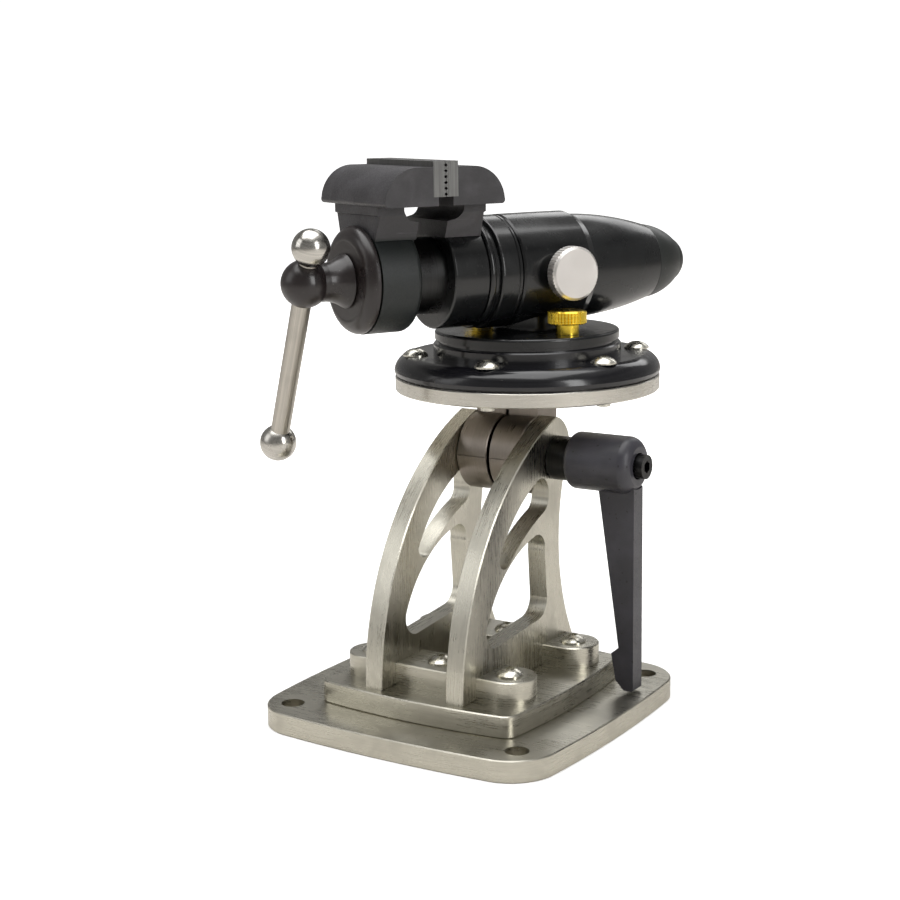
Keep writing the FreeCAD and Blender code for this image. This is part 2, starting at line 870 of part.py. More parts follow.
def build_end_cap():
    """The pointed dome that closes the barrel's tail, on a spigot in the tail bore."""
    rear = size("barrel_rear")
    tip = size("cap_tip")
    cap = turned("end_cap_blank", [
        (rear, 9.45),
        (rear, size("barrel_rear_radius") - 0.35),
        (rear + 0.35, size("barrel_rear_radius") - 0.1, 24.0),
        (tip - 5.5, 8.7, 10.0),
        (tip, 0),
        (rear + 8.5, 0),
        (rear + 8.5, 6.8),
        (rear - 7.0, 6.8),
        (rear - 7.0, 9.45),
    ])
    named(on_barrel(cap), "end_cap")


def build_swivel_fixings():
    """A washer and a countersunk screw under the flange hold the spigot down."""
    thickness = 2.1
    bottom = swivel_underside - 11.1 - thickness
    washer = cut(
        cylinder(15.5, thickness, (0, 0, bottom)),
        countersink(0, 0, bottom, thickness, 3.0, 5.0, True),
    )
    named(on_turret(washer), "swivel_washer")
    screw = countersunk_screw(0, 0, bottom, 11.5, 3.0, 5.0, True)
    named(on_turret(screw), "swivel_screw")
    studs = []
    for name in STUD_PLACES:
        x, y = stud_place(name)
        head = cylinder(4.3, 2.4, (x, y, flange_top - 1.3))
        shank = cylinder(size("screw_radius"), swivel_top + 7.0 - flange_top, (x, y, flange_top))
        studs.append(fuse(head, shank))
    named(on_turret(group(*studs)), "swivel_studs")


def build_thumb_nut(name):
    """A knurled brass nut with a narrower foot, on one of the clamp studs."""
    radius = size("thumb_nut_radius")
    foot = swivel_top + 0.1
    top = foot + size("thumb_nut_height")
    neck_radius = 4.3
    body = turned(f"thumb_nut_blank_{name}", [
        (0, foot + 7.6),
        (size("screw_radius") + clear, foot + 7.6),
        (size("screw_radius") + clear, foot),
        (neck_radius, foot),
        (neck_radius, foot + 3.9),
        (radius - 0.4, foot + 3.9),
        (radius, foot + 4.3),
        (radius, top - 0.9),
        (radius - 0.7, top - 0.3),
        (0, top),
    ], "V_Axis")
    x, y = stud_place(name)
    place(body, (x, y, 0))
    teeth = knurl_cuts(radius, 0.35, 36, foot + 3.8, top - foot - 3.7, (x, y))
    named(on_turret(cut(body, teeth)), f"thumb_nut_{name}")


def knurl_cuts(radius, depth, count, start, length, centre=(0, 0)):
    """V-shaped notches round a rim, to be cut from it."""
    wires = []
    low = as_size(start).value
    x = as_size(centre[0]).value
    y = as_size(centre[1]).value
    outer = as_size(radius).value
    half = math.pi / count * 0.62
    for tooth in range(count):
        angle = 2 * math.pi * tooth / count
        points = []
        for turn, distance in ((-half, outer + 0.25), (0, outer - depth), (half, outer + 0.25)):
            points.append(FreeCAD.Vector(
                x + distance * math.cos(angle + turn), y + distance * math.sin(angle + turn), low))
        face = Part.Face(Part.makePolygon(points + points[:1]))
        wires.append(face.extrude(FreeCAD.Vector(0, 0, as_size(length).value)))
    notches = doc.addObject("Part::Feature", "knurl")
    notches.Shape = Part.makeCompound(wires)
    return notches


def build_lock_knob():
    """The knurled silver knob, its screw through the barrel wall and the shoe that it presses on."""
    radius = size("lock_knob_radius")
    inner = 24.0
    outer = inner + size("lock_knob_thickness")
    knob = turned("knob_blank", [
        (0, inner - 2.6),
        (5.0, inner - 2.6),
        (5.0, inner),
        (radius - 0.5, inner),
        (radius, inner + 0.5),
        (radius, outer - 1.0),
        (radius - 1.0, outer),
        (0, outer),
    ], "V_Axis")
    teeth = knurl_cuts(radius, 0.4, 48, inner - 0.2, size("lock_knob_thickness") + 0.4)
    stem_seat = cylinder(3.0, 3.0, (0, 0, inner - 3.0))
    knob = cut(knob, teeth, stem_seat)
    stem = cylinder(3.0, 4.9, (0, 0, inner - 4.9))
    for item, label in ((knob, "lock_knob"), (stem, "lock_screw")):
        turned_out = place(group(item), (lock_place, 0, 0), (1, 0, 0), 90)
        named(on_barrel(turned_out), label)
    shoe = cylinder(2.8, 2.3, (lock_place, -19.0, 0), "Y")
    named(on_barrel(shoe), "lock_shoe")


# ---------------------------------------------------------------------------------------------
# Turning jaw head
# ---------------------------------------------------------------------------------------------

meeting = size("jaw_meeting")


def build_head_hub():
    """The front hub with its beads, and the sleeve that turns inside the barrel."""
    radius = size("hub_radius")
    front = size("hub_front")
    end = size("sleeve_end")
    bore = size("ram_radius") + clear
    sleeve = size("sleeve_radius")
    barrel_gap = size("barrel_front") - 0.4
    hub = turned("hub_blank", [
        (front, bore),
        (front, radius - 0.8, 0.9),
        (front + 0.8, radius),
        (-27.6, radius),
        (-27.6, radius - 0.9),
        (-27.0, radius - 0.9),
        (-27.0, radius + 0.3, 1.6),
        (-24.7, radius + 0.3),
        (-24.4, radius - 0.4),
        (-22.9, radius - 0.4),
        (-22.6, radius + 0.8, 1.0),
        (-21.6, radius + 1.2),
        (-15.6, radius + 1.2),
        (-15.3, radius + 0.8),
        (-14.9, radius + 1.2),
        (barrel_gap - 0.5, radius + 1.2),
        (barrel_gap, radius + 0.7),
        (barrel_gap, sleeve),
        (lock_place - 3.4, sleeve),
        (lock_place - 3.4, sleeve - 1.5),
        (lock_place + 3.4, sleeve - 1.5),
        (lock_place + 3.4, sleeve),
        (14.0, sleeve),
        (14.0, size("sleeve_rear_radius")),
        (end, size("sleeve_rear_radius")),
        (end, size("nut_radius")),
        (end - 4.0, size("nut_radius")),
        (end - 4.0, bore),
    ])
    seat = box(15.0, 40.0, 12.0, (-42.6, -20.0, size("neck_seat")))
    key_slot = box(8.0, size("key_width"), 4.0, (-38.0, -size("key_width") / 2, -bore - 1.5))
    named(on_barrel(cut(hub, seat, key_slot, *jaw_studs())), "head_hub")
    key = box(8.0, size("key_width"), 3.4, (-38.0, -size("key_width") / 2, -bore - 1.5))
    named(on_barrel(key), "ram_key")


def jaw_block(label, side):
    """A jaw: a rounded cap on a tapered neck. side is +1 for the fixed jaw, -1 for the moving one.
    It is drawn about the barrel's axis."""
    body = new_body(label)
    low = size("jaw_underside")
    top = size("jaw_top")
    reach = size("jaw_reach")
    face = size("plate_thickness")
    ledge = 2.9
    neck_back = 20.5 if side > 0 else 22.0

    def across(distance):
        return meeting + as_size(distance) * side

    bend = 12.6 * side
    cap = new_sketch(body, "XZ_Plane", f"{label}_cap")
    add_outline(cap, [
        (across(ledge), low),
        (across(ledge), size("plate_underside")),
        (across(face), size("plate_underside")),
        (across(face), top),
        (across(11.8), top, bend),
        (across(reach), low + 2.0, 1.4 * side),
        (across(reach - 1.2), low),
    ])
    pad(body, cap, size("jaw_width"), both_ways=True)
    neck = new_sketch(body, "XZ_Plane", f"{label}_neck")
    seat = size("neck_seat")
    add_outline(neck, [
        (across(5.8), seat),
        (across(5.8), low - 6.0),
        (across(8.4), low - 5.4, -5.0 * side),
        (across(12.0), low - 1.6),
        (across(12.0), low + 2.0),
        (across(neck_back + 0.4), low + 2.0),
        (across(neck_back + 0.4), low - 3.0),
        (across(neck_back - 0.4), low - 3.4),
        (across(neck_back), seat),
    ])
    pad(body, neck, size("neck_width"), both_ways=True)
    flare = new_sketch(body, "YZ_Plane", f"{label}_flare")
    half = size("neck_width") / 2
    for hand in (-1, 1):
        add_outline(flare, [
            (13.6 * hand, seat - 0.1),
            (half * hand, low - 3.1),
            ((half + 1) * hand, low - 3.1),
            ((half + 1) * hand, seat - 0.1),
        ])
    pocket_through(body, flare)
    return body


def plate_screw_places():
    """Depth, across the jaw, of the two screws of a jaw plate."""
    return (-15.0, 15.0)


def build_jaw_plate(name, side):
    """A ground steel plate with level V-grooves across its gripping face, and its two screws."""
    thickness = size("plate_thickness")
    height = size("plate_top") - size("plate_underside")
    width = size("jaw_width")
    half_gap = size("plate_gap") / 2
    inner = meeting + half_gap * side
    start = inner if side > 0 else meeting - thickness
    blank = box(thickness - half_gap, width, height, (start, -width / 2, size("plate_underside")))
    groove_depth = 0.7
    grooves = []
    for number in range(6):
        level = size("plate_top").value - 1.4 - number * SIZES["groove_pitch"]
        x = as_size(inner).value
        points = [
            FreeCAD.Vector(x - 0.1 * side, -SIZES["jaw_width"] / 2 - 1, level + groove_depth),
            FreeCAD.Vector(x + groove_depth * side, -SIZES["jaw_width"] / 2 - 1, level),
            FreeCAD.Vector(x - 0.1 * side, -SIZES["jaw_width"] / 2 - 1, level - groove_depth),
        ]
        face = Part.Face(Part.makePolygon(points + points[:1]))
        grooves.append(face.extrude(FreeCAD.Vector(0, SIZES["jaw_width"] + 2, 0)))
    notch = doc.addObject("Part::Feature", "plate_grooves")
    notch.Shape = Part.makeCompound(grooves)
    radius = size("small_screw_radius")
    head_radius = size("small_head_radius")
    level = size("plate_underside") + 4.5
    holes = []
    screws = []
    for y in plate_screw_places():
        head_depth = head_radius - radius
        seat = inner + 1.2 * side
        if side > 0:
            flat = cylinder(head_radius, 1.2, (inner, y, level), "X")
            slope = cone(head_radius, radius, head_depth, (seat, y, level), "X")
            shank = cylinder(radius, 9.0, (seat, y, level), "X")
            screw_slope = cone(head_radius, radius, head_depth, (seat, y, level), "X")
            screw_shank = cylinder(radius, 9.0, (seat, y, level), "X")
            socket = hex_prism(2.5, 1.5, (seat - 0.1, y, level), "X")
        else:
            flat = cylinder(head_radius, 1.2, (seat, y, level), "X")
            slope = cone(radius, head_radius, head_depth, (seat - head_depth, y, level), "X")
            shank = cylinder(radius, 9.0, (seat - 9.0, y, level), "X")
            screw_slope = cone(radius, head_radius, head_depth, (seat - head_depth, y, level), "X")
            screw_shank = cylinder(radius, 9.0, (seat - 9.0, y, level), "X")
            socket = hex_prism(2.5, 1.5, (seat - 1.4, y, level), "X")
        holes += [flat, slope, shank]
        screws.append(cut(fuse(screw_slope, screw_shank), socket))
    named(on_barrel(cut(blank, notch, *holes)), f"jaw_plate_{name}")
    named(on_barrel(group(*screws)), f"jaw_plate_screws_{name}")


def jaw_screw_holes(side):
    """Tapped holes for the plate screws in a jaw."""
    level = size("plate_underside") + 4.5
    face = meeting + size("plate_thickness") * side
    start = face - 0.2 if side > 0 else face - 6.0
    return [cylinder(size("small_screw_radius"), 6.2, (start, y, level), "X") for y in plate_screw_places()]


def jaw_studs():
    """The two studs that hold the fixed jaw on the hub, one at each side of the ram."""
    return [cylinder(2.0, 8.0, (-35.0, 10.0 * hand, size("neck_seat") - 1.8)) for hand in (-1, 1)]


def build_fixed_jaw():
    body = jaw_block("fixed_jaw_blank", 1)
    named(on_barrel(cut(body, *jaw_studs(), *jaw_screw_holes(1))), "fixed_jaw")
    named(on_barrel(group(*jaw_studs())), "fixed_jaw_studs")


def build_feed_nut():
    """The long nut that the lead screw runs in, held in the sleeve's end wall."""
    radius = size("nut_radius")
    end = size("sleeve_end")
    nut = turned("nut_blank", [
        (size("nut_front"), size("lead_radius") + clear),
        (size("nut_front"), radius - 0.5),
        (size("nut_front") + 0.5, radius),
        (end - 4.0, radius),
        (end, radius),
        (end, size("lead_radius") + clear),
    ])
    named(on_barrel(nut), "feed_nut")


# ---------------------------------------------------------------------------------------------
# Ram with the moving jaw
# ---------------------------------------------------------------------------------------------


def build_moving_jaw():
    radius = size("hub_radius") - 0.1
    front = size("moving_hub_front")
    rear = size("moving_hub_rear")
    body = jaw_block("moving_jaw_blank", -1)
    hub = turned("moving_hub_blank", [
        (front, 6.6),
        (front, radius),
        (rear - 2.2, radius, 2.4),
        (rear, radius - 2.2),
        (rear, size("ram_radius")),
        (front + 6.0, size("ram_radius")),
        (front + 6.0, 6.6),
    ])
    bore = cylinder(size("ram_radius"), 40.0, (front + 6.0, 0, 0), "X")
    neck_root = box(15.9, 25.0, 6.0, (front, -12.5, size("neck_seat") - 3.0))
    whole = cut(fuse(body, hub, neck_root), bore)
    named(on_barrel(cut(whole, *jaw_screw_holes(-1))), "moving_jaw")


def build_ram():
    """The round slide bar: a tube with a keyway along its underside."""
    start = size("moving_hub_front") + 6.0
    end = size("ram_end")
    outer = size("ram_radius")
    bore = size("ram_bore")
    tube = turned("ram_blank", [
        (start, 6.6),
        (start, outer),
        (end - 0.8, outer),
        (end, outer - 0.8),
        (end, bore),
        (start + 5.0, bore),
        (start + 5.0, 6.6),
    ])
    slot = size("key_width") + 0.2
    keyway = box(end - start, slot, 4.0, (start + 12.0, -slot / 2, -outer - 1.8))
    named(on_barrel(cut(tube, keyway)), "ram_tube")


def build_ram_collar():
    """The rounded collar that covers the front of the moving hub."""
    front = size("moving_hub_front")
    radius = size("hub_radius") - 0.3
    collar = turned("collar_blank", [
        (front - 0.35, 6.6),
        (front - 0.35, radius - 0.4),
        (front - 0.75, radius),
        (front - 1.4, radius, -4.6),
        (front - 5.2, radius - 5.2),
        (front - 5.2, 6.6),
    ])
    named(on_barrel(collar), "ram_collar")
    ring = turned("thrust_blank", [
        (front - 0.35, 6.6), (front - 0.35, 15.0), (front, 15.0), (front, 6.6),
    ])
    named(on_barrel(ring), "collar_washer")


def build_lead_screw():
    """The lead screw with its ball head, which the handle bar goes through."""
    radius = size("lead_radius")
    ball_place = size("screw_ball_place")
    ball_radius = size("screw_ball_radius")
    flare = size("moving_hub_front") - 5.3
    shaft = turned("lead_blank", [
        (ball_place - ball_radius, 0),
        (size("lead_end"), 0),
        (size("lead_end"), radius - 0.8),
        (size("lead_end") - 0.8, radius),
        (flare, radius),
        (flare, 9.2),
        (flare - 0.5, 9.8),
        (flare - 1.6, 9.2, 12.0),
        (ball_place + 7.3, 6.85),
        (ball_place + 5.2, 6.85, -ball_radius),
        (ball_place, ball_radius, -ball_radius),
    ])
    hole = cylinder(size("bar_radius") + 0.15, 30.0, (ball_place, 0, -15.0))
    tilted = group(hole)
    place(tilted, (0, 0, 0), (1, 0, 0), size("bar_lean"))
    named(on_barrel(cut(shaft, tilted)), "lead_screw")
    ring = cut(cylinder(8.4, 1.2, (size("moving_hub_front") + 11.2, 0, 0), "X"),
               cylinder(radius, 1.2, (size("moving_hub_front") + 11.2, 0, 0), "X"))
    named(on_barrel(ring), "thrust_ring")


def build_handle_bar():
    """The sliding bar with a ball at each end. It hangs at its lowest, leaning a little."""
    radius = size("bar_radius")
    ball = size("bar_ball_radius")
    span = size("bar_span")
    upper = span / 2 - size("bar_drop")
    lower = upper - span
    rod = cylinder(radius, span - 4.0, (0, 0, lower + 2.0))
    pieces = {"handle_rod": rod}
    for label, level, shift in (("handle_ball_upper", upper, -ball), ("handle_ball_lower", lower, 0)):
        seat = cylinder(radius, ball * 2, (0, 0, (upper - 2.0 - ball * 2) if shift else lower + 2.0))
        pieces[label] = cut(sphere(ball, (0, 0, level)), seat)
    for label, item in pieces.items():
        leaning = place(group(item), (size("screw_ball_place"), 0, 0), (1, 0, 0), size("bar_lean"))
        named(on_barrel(leaning), label)


# ---------------------------------------------------------------------------------------------
# Clamp lever
# ---------------------------------------------------------------------------------------------


def star_bar(width, length, start):
    """A twelve-point drive along X: two hexagons, one turned by half a step."""
    first = hex_prism(width, length, (start, 0, 0), "X")
    second = group(hex_prism(width, length, (start, 0, 0), "X"))
    return fuse(first, place(second, (0, 0, 0), (1, 0, 0), 30))


def build_clamp_lever():
    """The lift-and-turn lever: a toothed insert on the bolt, the handle, its screw and its spring.
    Its pieces are drawn from the outer face of the right cheek."""
    collar = size("lever_collar_length")
    length = size("lever_length")
    hub_radius = size("lever_hub_radius")
    hub_end = size("lever_hub_end")
    seat = (cheek_outer, size("pivot_depth"), size("pivot_height"))
    drive_width = 11.0
    drive_clearance = 0.2
    teeth_end = collar + 13.6
    bolt_end = collar + 7.5
    foot = turned("insert_blank", [
        (0.1, size("pivot_radius") + clear),
        (0.1, size("lever_collar_radius") - 0.4),
        (0.5, size("lever_collar_radius")),
        (collar, size("lever_collar_radius")),
        (collar, size("pivot_radius") + clear),
    ])
    drive = star_bar(drive_width, teeth_end - collar, collar)
    bolt_hole = cylinder(size("pivot_radius") + clear, bolt_end, (0, 0, 0), "X")
    screw_hole = cylinder(2.0, teeth_end, (0, 0, 0), "X")
    named(place(cut(fuse(foot, drive), bolt_hole, screw_hole), seat), "lever_insert")

    recess = hub_end - 8.5
    hub = turned("lever_hub_blank", [
        (collar + 0.2, 2.3),
        (collar + 0.2, hub_radius - 1.8, 2.0),
        (collar + 2.2, hub_radius),
        (hub_end - 4.0, hub_radius, 5.0),
        (hub_end, hub_radius - 3.4),
        (hub_end, 4.9),
        (recess, 4.9),
        (recess, 2.3),
    ])
    arm = new_body("lever_arm_blank")
    outline = new_sketch(arm, "XZ_Plane", "lever_arm_outline")
    outer = hub_end - 0.2
    add_outline(outline, [
        (hub_end - 14.8, -7.5),
        (hub_end - 6.2, -length + 16.0),
        (hub_end - 9.2, -length + 13.5),
        (hub_end - 7.4, -length + 3.5),
        (hub_end - 4.0, -length),
        (outer - 0.6, -length),
        (outer, -length + 0.6),
        (outer, -7.5),
    ])
    pad(arm, outline, size("lever_width"), both_ways=True)
    arm_root = cylinder(hub_radius - 2.0, hub_end - collar, (collar, 0, 0), "X")
    socket = star_bar(drive_width + 2 * drive_clearance, teeth_end + 0.3 - collar, collar)
    named(place(cut(fuse(hub, cut(arm, arm_root)), socket), seat), "lever_handle")

    screw_head = hub_end - 1.2
    shank_start = bolt_end + 1.0
    head = cylinder(4.4, 4.4, (screw_head, 0, 0), "X")
    shank = cylinder(2.0, screw_head - shank_start, (shank_start, 0, 0), "X")
    socket = hex_prism(4.0, 3.0, (screw_head + 1.8, 0, 0), "X")
    named(place(cut(fuse(head, shank), socket), seat), "lever_screw")

    wire_radius = 0.4
    end_gap = 0.05
    spring_start = recess + wire_radius + end_gap
    coil_height = screw_head - wire_radius - end_gap - spring_start
    coil = Part.makeHelix(coil_height.value / 5, coil_height.value, 3.4)
    section = Part.Wire(Part.Circle(coil.Edges[0].valueAt(0), FreeCAD.Vector(0, 1, 0), wire_radius).toShape())
    spring_shape = Part.Wire(coil.Edges).makePipeShell([section], True, True)
    spring = doc.addObject("Part::Feature", "lever_spring_coil")
    spring.Shape = spring_shape
    laid = group(spring)
    place(laid, (spring_start, 0, 0), (0, 1, 0), 90)
    named(place(group(laid), seat), "lever_spring")


# ---------------------------------------------------------------------------------------------
# The whole object
# ---------------------------------------------------------------------------------------------


def build_all():
    build_plates()
    for name, side in SIDES.items():
        build_cheek(name, side)
    build_lugs()
    build_stand_fasteners()
    build_pivot()
    build_hinge_blocks()
    build_disc()
    build_turret_base()
    build_vise_body()
    build_end_cap()
    build_swivel_fixings()
    for name in STUD_PLACES:
        build_thumb_nut(name)
    build_lock_knob()
    build_head_hub()
    build_fixed_jaw()
    build_jaw_plate("fixed", 1)
    build_feed_nut()
    build_moving_jaw()
    build_jaw_plate("moving", -1)
    build_ram()
    build_ram_collar()
    build_lead_screw()
    build_handle_bar()
    build_clamp_lever()


def check_all():
    """Stops before any file is written if an object or a sub-part has failed."""
    failures = [
        f"{item.Name} ({item.Label}): {item.getStatusString()}"
        for item in doc.Objects if "Invalid" in item.State or "Error" in item.State
    ]
    failures += [
        f"{item.Label} has no valid shape"
        for item in finished if item.Shape.isNull() or not item.Shape.isValid()
    ]
    if failures:
        raise RuntimeError("\n".join(failures))


build_all()
doc.recompute()
check_all()
os.makedirs("parts", exist_ok=True)
for item in finished:
    item.Shape.exportStep(os.path.join("parts", f"{item.Label}.step"))
    print(f"{item.Label}: {len(item.Shape.Solids)} solids, {item.Shape.Volume / 1000:.2f} cm3")
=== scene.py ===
"""Looks for the tilting bench vise: materials, fine detail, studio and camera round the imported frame."""

import json
import math

import bpy
from mathutils import Matrix, Vector

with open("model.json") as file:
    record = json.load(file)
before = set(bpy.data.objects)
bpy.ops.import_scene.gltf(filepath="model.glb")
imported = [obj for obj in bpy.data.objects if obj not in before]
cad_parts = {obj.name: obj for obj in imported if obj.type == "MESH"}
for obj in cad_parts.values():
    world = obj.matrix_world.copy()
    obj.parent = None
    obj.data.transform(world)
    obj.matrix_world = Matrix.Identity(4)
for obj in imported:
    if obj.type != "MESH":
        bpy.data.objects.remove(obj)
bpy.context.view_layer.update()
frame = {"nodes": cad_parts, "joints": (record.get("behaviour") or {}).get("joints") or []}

X = Vector((1, 0, 0))
Z = Vector((0, 0, 1))

# ---------------------------------------------------------------------------------------------
# Directions and places read from the frame's own joints
# ---------------------------------------------------------------------------------------------

JOINTS = {joint["name"]: joint for joint in frame["joints"]}
BARREL = -Vector(JOINTS["jaw_slide"]["axis"])
KNOB = Vector(JOINTS["lock_knob_turn"]["axis"])
BAR = Vector(JOINTS["bar_slide"]["axis"])
BARREL_POINT = Vector(JOINTS["jaw_head_turn"]["pos_m"])

# ---------------------------------------------------------------------------------------------
# Node helpers
# ---------------------------------------------------------------------------------------------


class Finish:
    """One material's node tree, built up from its shader."""

    def __init__(self, name, colour, roughness, metallic=1.0):
        self.material = bpy.data.materials.new(name)
        self.material.use_nodes = True
        self.tree = self.material.node_tree
        self.shader = self.tree.nodes["Principled BSDF"]
        self.shader.inputs["Base Color"].default_value = (*colour, 1)
        self.shader.inputs["Roughness"].default_value = roughness
        self.shader.inputs["Metallic"].default_value = metallic
        coordinates = self.tree.nodes.new("ShaderNodeTexCoord")
        self.place = coordinates.outputs["Object"]
        self.normal = coordinates.outputs["Normal"]
        self.bumped = None

    def feed(self, socket, value):
        """Links an output to a socket, or sets the socket to a plain value."""
        if isinstance(value, bpy.types.NodeSocket):
            self.tree.links.new(value, socket)
        else:
            socket.default_value = value

    def math(self, operation, first, second=0.0, clamp=False):
        node = self.tree.nodes.new("ShaderNodeMath")
        node.operation = operation
        node.use_clamp = clamp
        self.feed(node.inputs[0], first)
        self.feed(node.inputs[1], second)
        return node.outputs[0]

    def vector(self, operation, first, second=(0, 0, 0)):
        node = self.tree.nodes.new("ShaderNodeVectorMath")
        node.operation = operation
        self.feed(node.inputs[0], first)
        if operation == "SCALE":
            self.feed(node.inputs["Scale"], second)
        else:
            self.feed(node.inputs[1], second)
        return node.outputs["Value" if operation == "DOT_PRODUCT" else "Vector"]

    def noise(self, where, scale, detail=3.0, roughness=0.5, distortion=0.0):
        node = self.tree.nodes.new("ShaderNodeTexNoise")
        self.feed(node.inputs["Vector"], where)
        node.inputs["Scale"].default_value = scale
        node.inputs["Detail"].default_value = detail
        node.inputs["Roughness"].default_value = roughness
        node.inputs["Distortion"].default_value = distortion
        return node.outputs["Fac"]

    def spread(self, value, low, high, to_low=0.0, to_high=1.0):
        """Maps a range of values to another, held at its ends."""
        node = self.tree.nodes.new("ShaderNodeMapRange")
        node.interpolation_type = "SMOOTHSTEP"
        limits = {"From Min": low, "From Max": high, "To Min": to_low, "To Max": to_high}
        for socket, number in limits.items():
            node.inputs[socket].default_value = number
        self.feed(node.inputs["Value"], value)
        return node.outputs["Result"]

    def blend(self, kind, factor, first, second):
        """The first value where the factor is 0, the second where it is 1, and a mix between."""
        node = self.tree.nodes.new("ShaderNodeMix")
        node.data_type = kind
        self.feed(node.inputs["Factor"], factor)
        for socket, value in (("A", first), ("B", second)):
            self.feed(next(i for i in node.inputs if i.name == socket and i.type == kind), value)
        return next(o for o in node.outputs if o.type == kind)

    def tint(self, factor, *colours):
        """Mixes two colours, each an output or three plain channels."""
        first, second = (c if isinstance(c, bpy.types.NodeSocket) else (*c, 1) for c in colours)
        return self.blend("RGBA", factor, first, second)

    def choose(self, factor, first, second):
        """Mixes two vectors."""
        return self.blend("VECTOR", factor, first, second)

    def along(self, direction, fine, coarse):
        """Coordinates whose pattern runs in lines along a direction."""
        part = self.vector("DOT_PRODUCT", self.place, direction)
        pull = self.vector("SCALE", tuple(direction), self.math("MULTIPLY", part, coarse - fine))
        return self.vector("ADD", self.vector("SCALE", self.place, fine), pull)

    def around(self, axis, fine, coarse):
        """Coordinates whose pattern runs in lines round an axis, as turning or edge brushing leaves."""
        part = self.vector("DOT_PRODUCT", self.place, axis)
        push = self.vector("SCALE", tuple(axis), self.math("MULTIPLY", part, fine - coarse))
        return self.vector("ADD", self.vector("SCALE", self.place, coarse), push)

    def bump(self, height, distance, strength=1.0):
        """Adds a height to the surface, on top of any bump before it."""
        node = self.tree.nodes.new("ShaderNodeBump")
        node.inputs["Distance"].default_value = distance
        node.inputs["Strength"].default_value = strength
        self.feed(node.inputs["Height"], height)
        if self.bumped:
            self.feed(node.inputs["Normal"], self.bumped)
        self.bumped = node.outputs["Normal"]
        self.feed(self.shader.inputs["Normal"], self.bumped)

    def colour(self, value):
        self.feed(self.shader.inputs["Base Color"], value)

    def roughness(self, value):
        self.feed(self.shader.inputs["Roughness"], value)

    def set(self, socket, value):
        self.shader.inputs[socket].default_value = value

    def stretch_gloss(self, tangent, amount):
        """Draws highlights out across the brushing, which runs along the tangent."""
        turned = self.tree.nodes.new("ShaderNodeVectorTransform")
        turned.vector_type = "VECTOR"
        turned.convert_from = "OBJECT"
        turned.convert_to = "WORLD"
        self.feed(turned.inputs["Vector"], tangent)
        self.feed(self.shader.inputs["Tangent"], turned.outputs["Vector"])
        self.shader.inputs["Anisotropic"].default_value = amount


def darker(colour, share):
    """A share of a colour, or a lighter one when the share is over 1."""
    return tuple(channel * share for channel in colour)


# ---------------------------------------------------------------------------------------------
# Materials
# ---------------------------------------------------------------------------------------------


# Noise cells to a metre across the brushing and along it, and the share that a streak changes the tone.
FINE_LINES = (5200, 190)
BROAD_BANDS = (1300, 60)
STREAK_DEPTH = 0.11
STREAK_SHINE = 0.45


def brushed_steel(name, cap, grain, colour=(0.55, 0.53, 0.46), roughness=0.28):
    """Brushed stainless. Flat faces square to the cap axis are brushed along the grain, and the
    rims between them along their own length."""
    steel = Finish(name, colour, roughness)
    facing = steel.math("ABSOLUTE", steel.vector("DOT_PRODUCT", steel.normal, cap))
    flat = steel.math("GREATER_THAN", facing, 0.8)
    lines = steel.choose(flat, steel.around(cap, *FINE_LINES), steel.along(grain, *FINE_LINES))
    fine = steel.noise(lines, 1.0, 3.0, 0.6)
    broad = steel.choose(flat, steel.around(cap, *BROAD_BANDS), steel.along(grain, *BROAD_BANDS))
    bands = steel.noise(broad, 1.0, 2.0)
    smudge = steel.noise(steel.place, 60.0, 4.0, 0.6, 0.4)
    pits = steel.noise(steel.place, 1400.0, 2.0, 0.5)
    tone = steel.math("ADD", steel.math("MULTIPLY", fine, 0.6), steel.math("MULTIPLY", bands, 0.4))
    streak = steel.spread(tone, 0.32, 0.68)
    dull = darker(colour, 1 - STREAK_DEPTH)
    bright = darker(colour, 1 + STREAK_DEPTH * STREAK_SHINE)
    shade = steel.tint(streak, dull, bright)
    stained = steel.tint(steel.spread(smudge, 0.45, 0.72, 0.0, 0.40), shade, darker(colour, 0.68))
    steel.colour(steel.tint(steel.spread(pits, 0.71, 0.76, 0.0, 0.35), stained, darker(colour, 0.4)))
    rough = steel.spread(streak, 0.0, 1.0, roughness - 0.04, roughness + 0.06)
    steel.roughness(steel.math("ADD", rough, steel.spread(smudge, 0.35, 0.7, -0.03, 0.07)))
    steel.bump(fine, 0.000010, 0.22)
    steel.bump(steel.noise(steel.place, 60.0, 2.0), 0.0004, 0.04)
    rim = steel.vector("CROSS_PRODUCT", steel.normal, cap)
    steel.stretch_gloss(steel.choose(flat, rim, tuple(grain)), 0.55)
    return steel.material


def screw_steel(name, colour, roughness):
    """Bright stainless screw heads with light handling marks."""
    steel = Finish(name, colour, roughness)
    marks = steel.noise(steel.place, 700.0, 4.0, 0.7)
    cloud = steel.noise(steel.place, 120.0, 3.0)
    steel.colour(steel.tint(steel.spread(cloud, 0.35, 0.7), darker(colour, 0.8), colour))
    steel.roughness(steel.spread(marks, 0.3, 0.75, roughness - 0.05, roughness + 0.16))
    steel.bump(marks, 0.00003, 0.35)
    return steel.material


DUST_COLOUR = (0.35, 0.34, 0.31)


